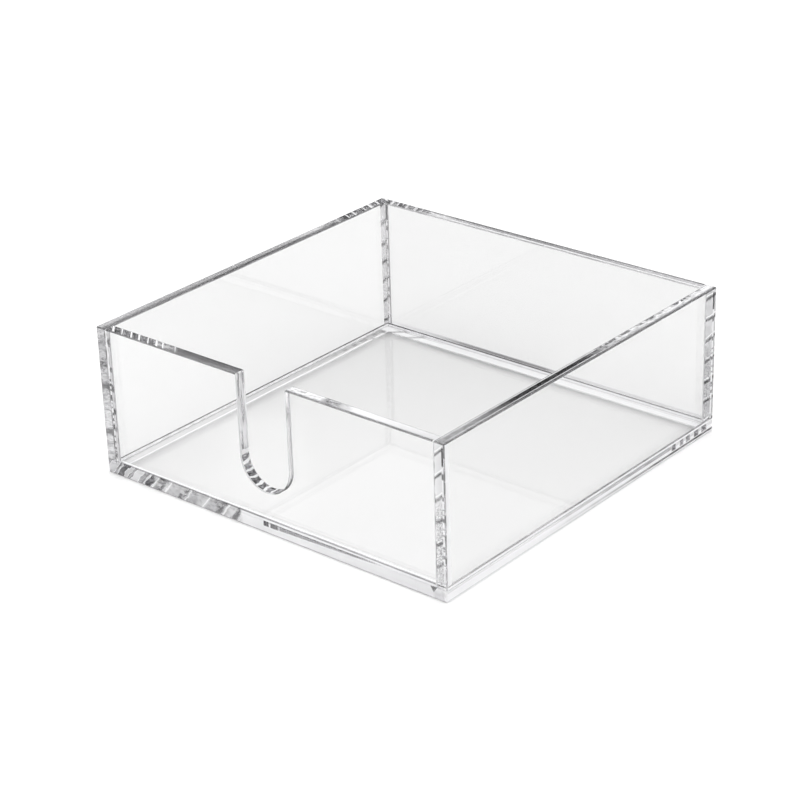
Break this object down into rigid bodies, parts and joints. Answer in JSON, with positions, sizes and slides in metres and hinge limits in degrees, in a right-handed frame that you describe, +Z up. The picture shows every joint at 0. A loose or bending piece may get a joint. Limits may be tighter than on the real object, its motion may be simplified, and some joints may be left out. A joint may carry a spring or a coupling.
{
  "type": "napkin holder",
  "caption": "Open square napkin tray of clear acrylic sheet: flat base, upright walls, and a round-ended finger notch in the front wall.",
  "frame": {"origin": "middle of the underside, on the surface that the tray stands on", "axes": "+Z up, the notched front wall faces -Y, the left wall is at -X"},
  "size_m": [0.18, 0.18, 0.066],
  "materials": {
    "clear_acrylic": "clear, polished faces and edges"
  },
  "bodies": {
    "root": {"base_plate": "clear_acrylic", "front_wall": "clear_acrylic", "back_wall": "clear_acrylic", "left_wall": "clear_acrylic", "right_wall": "clear_acrylic"}
  },
  "joints": []
}
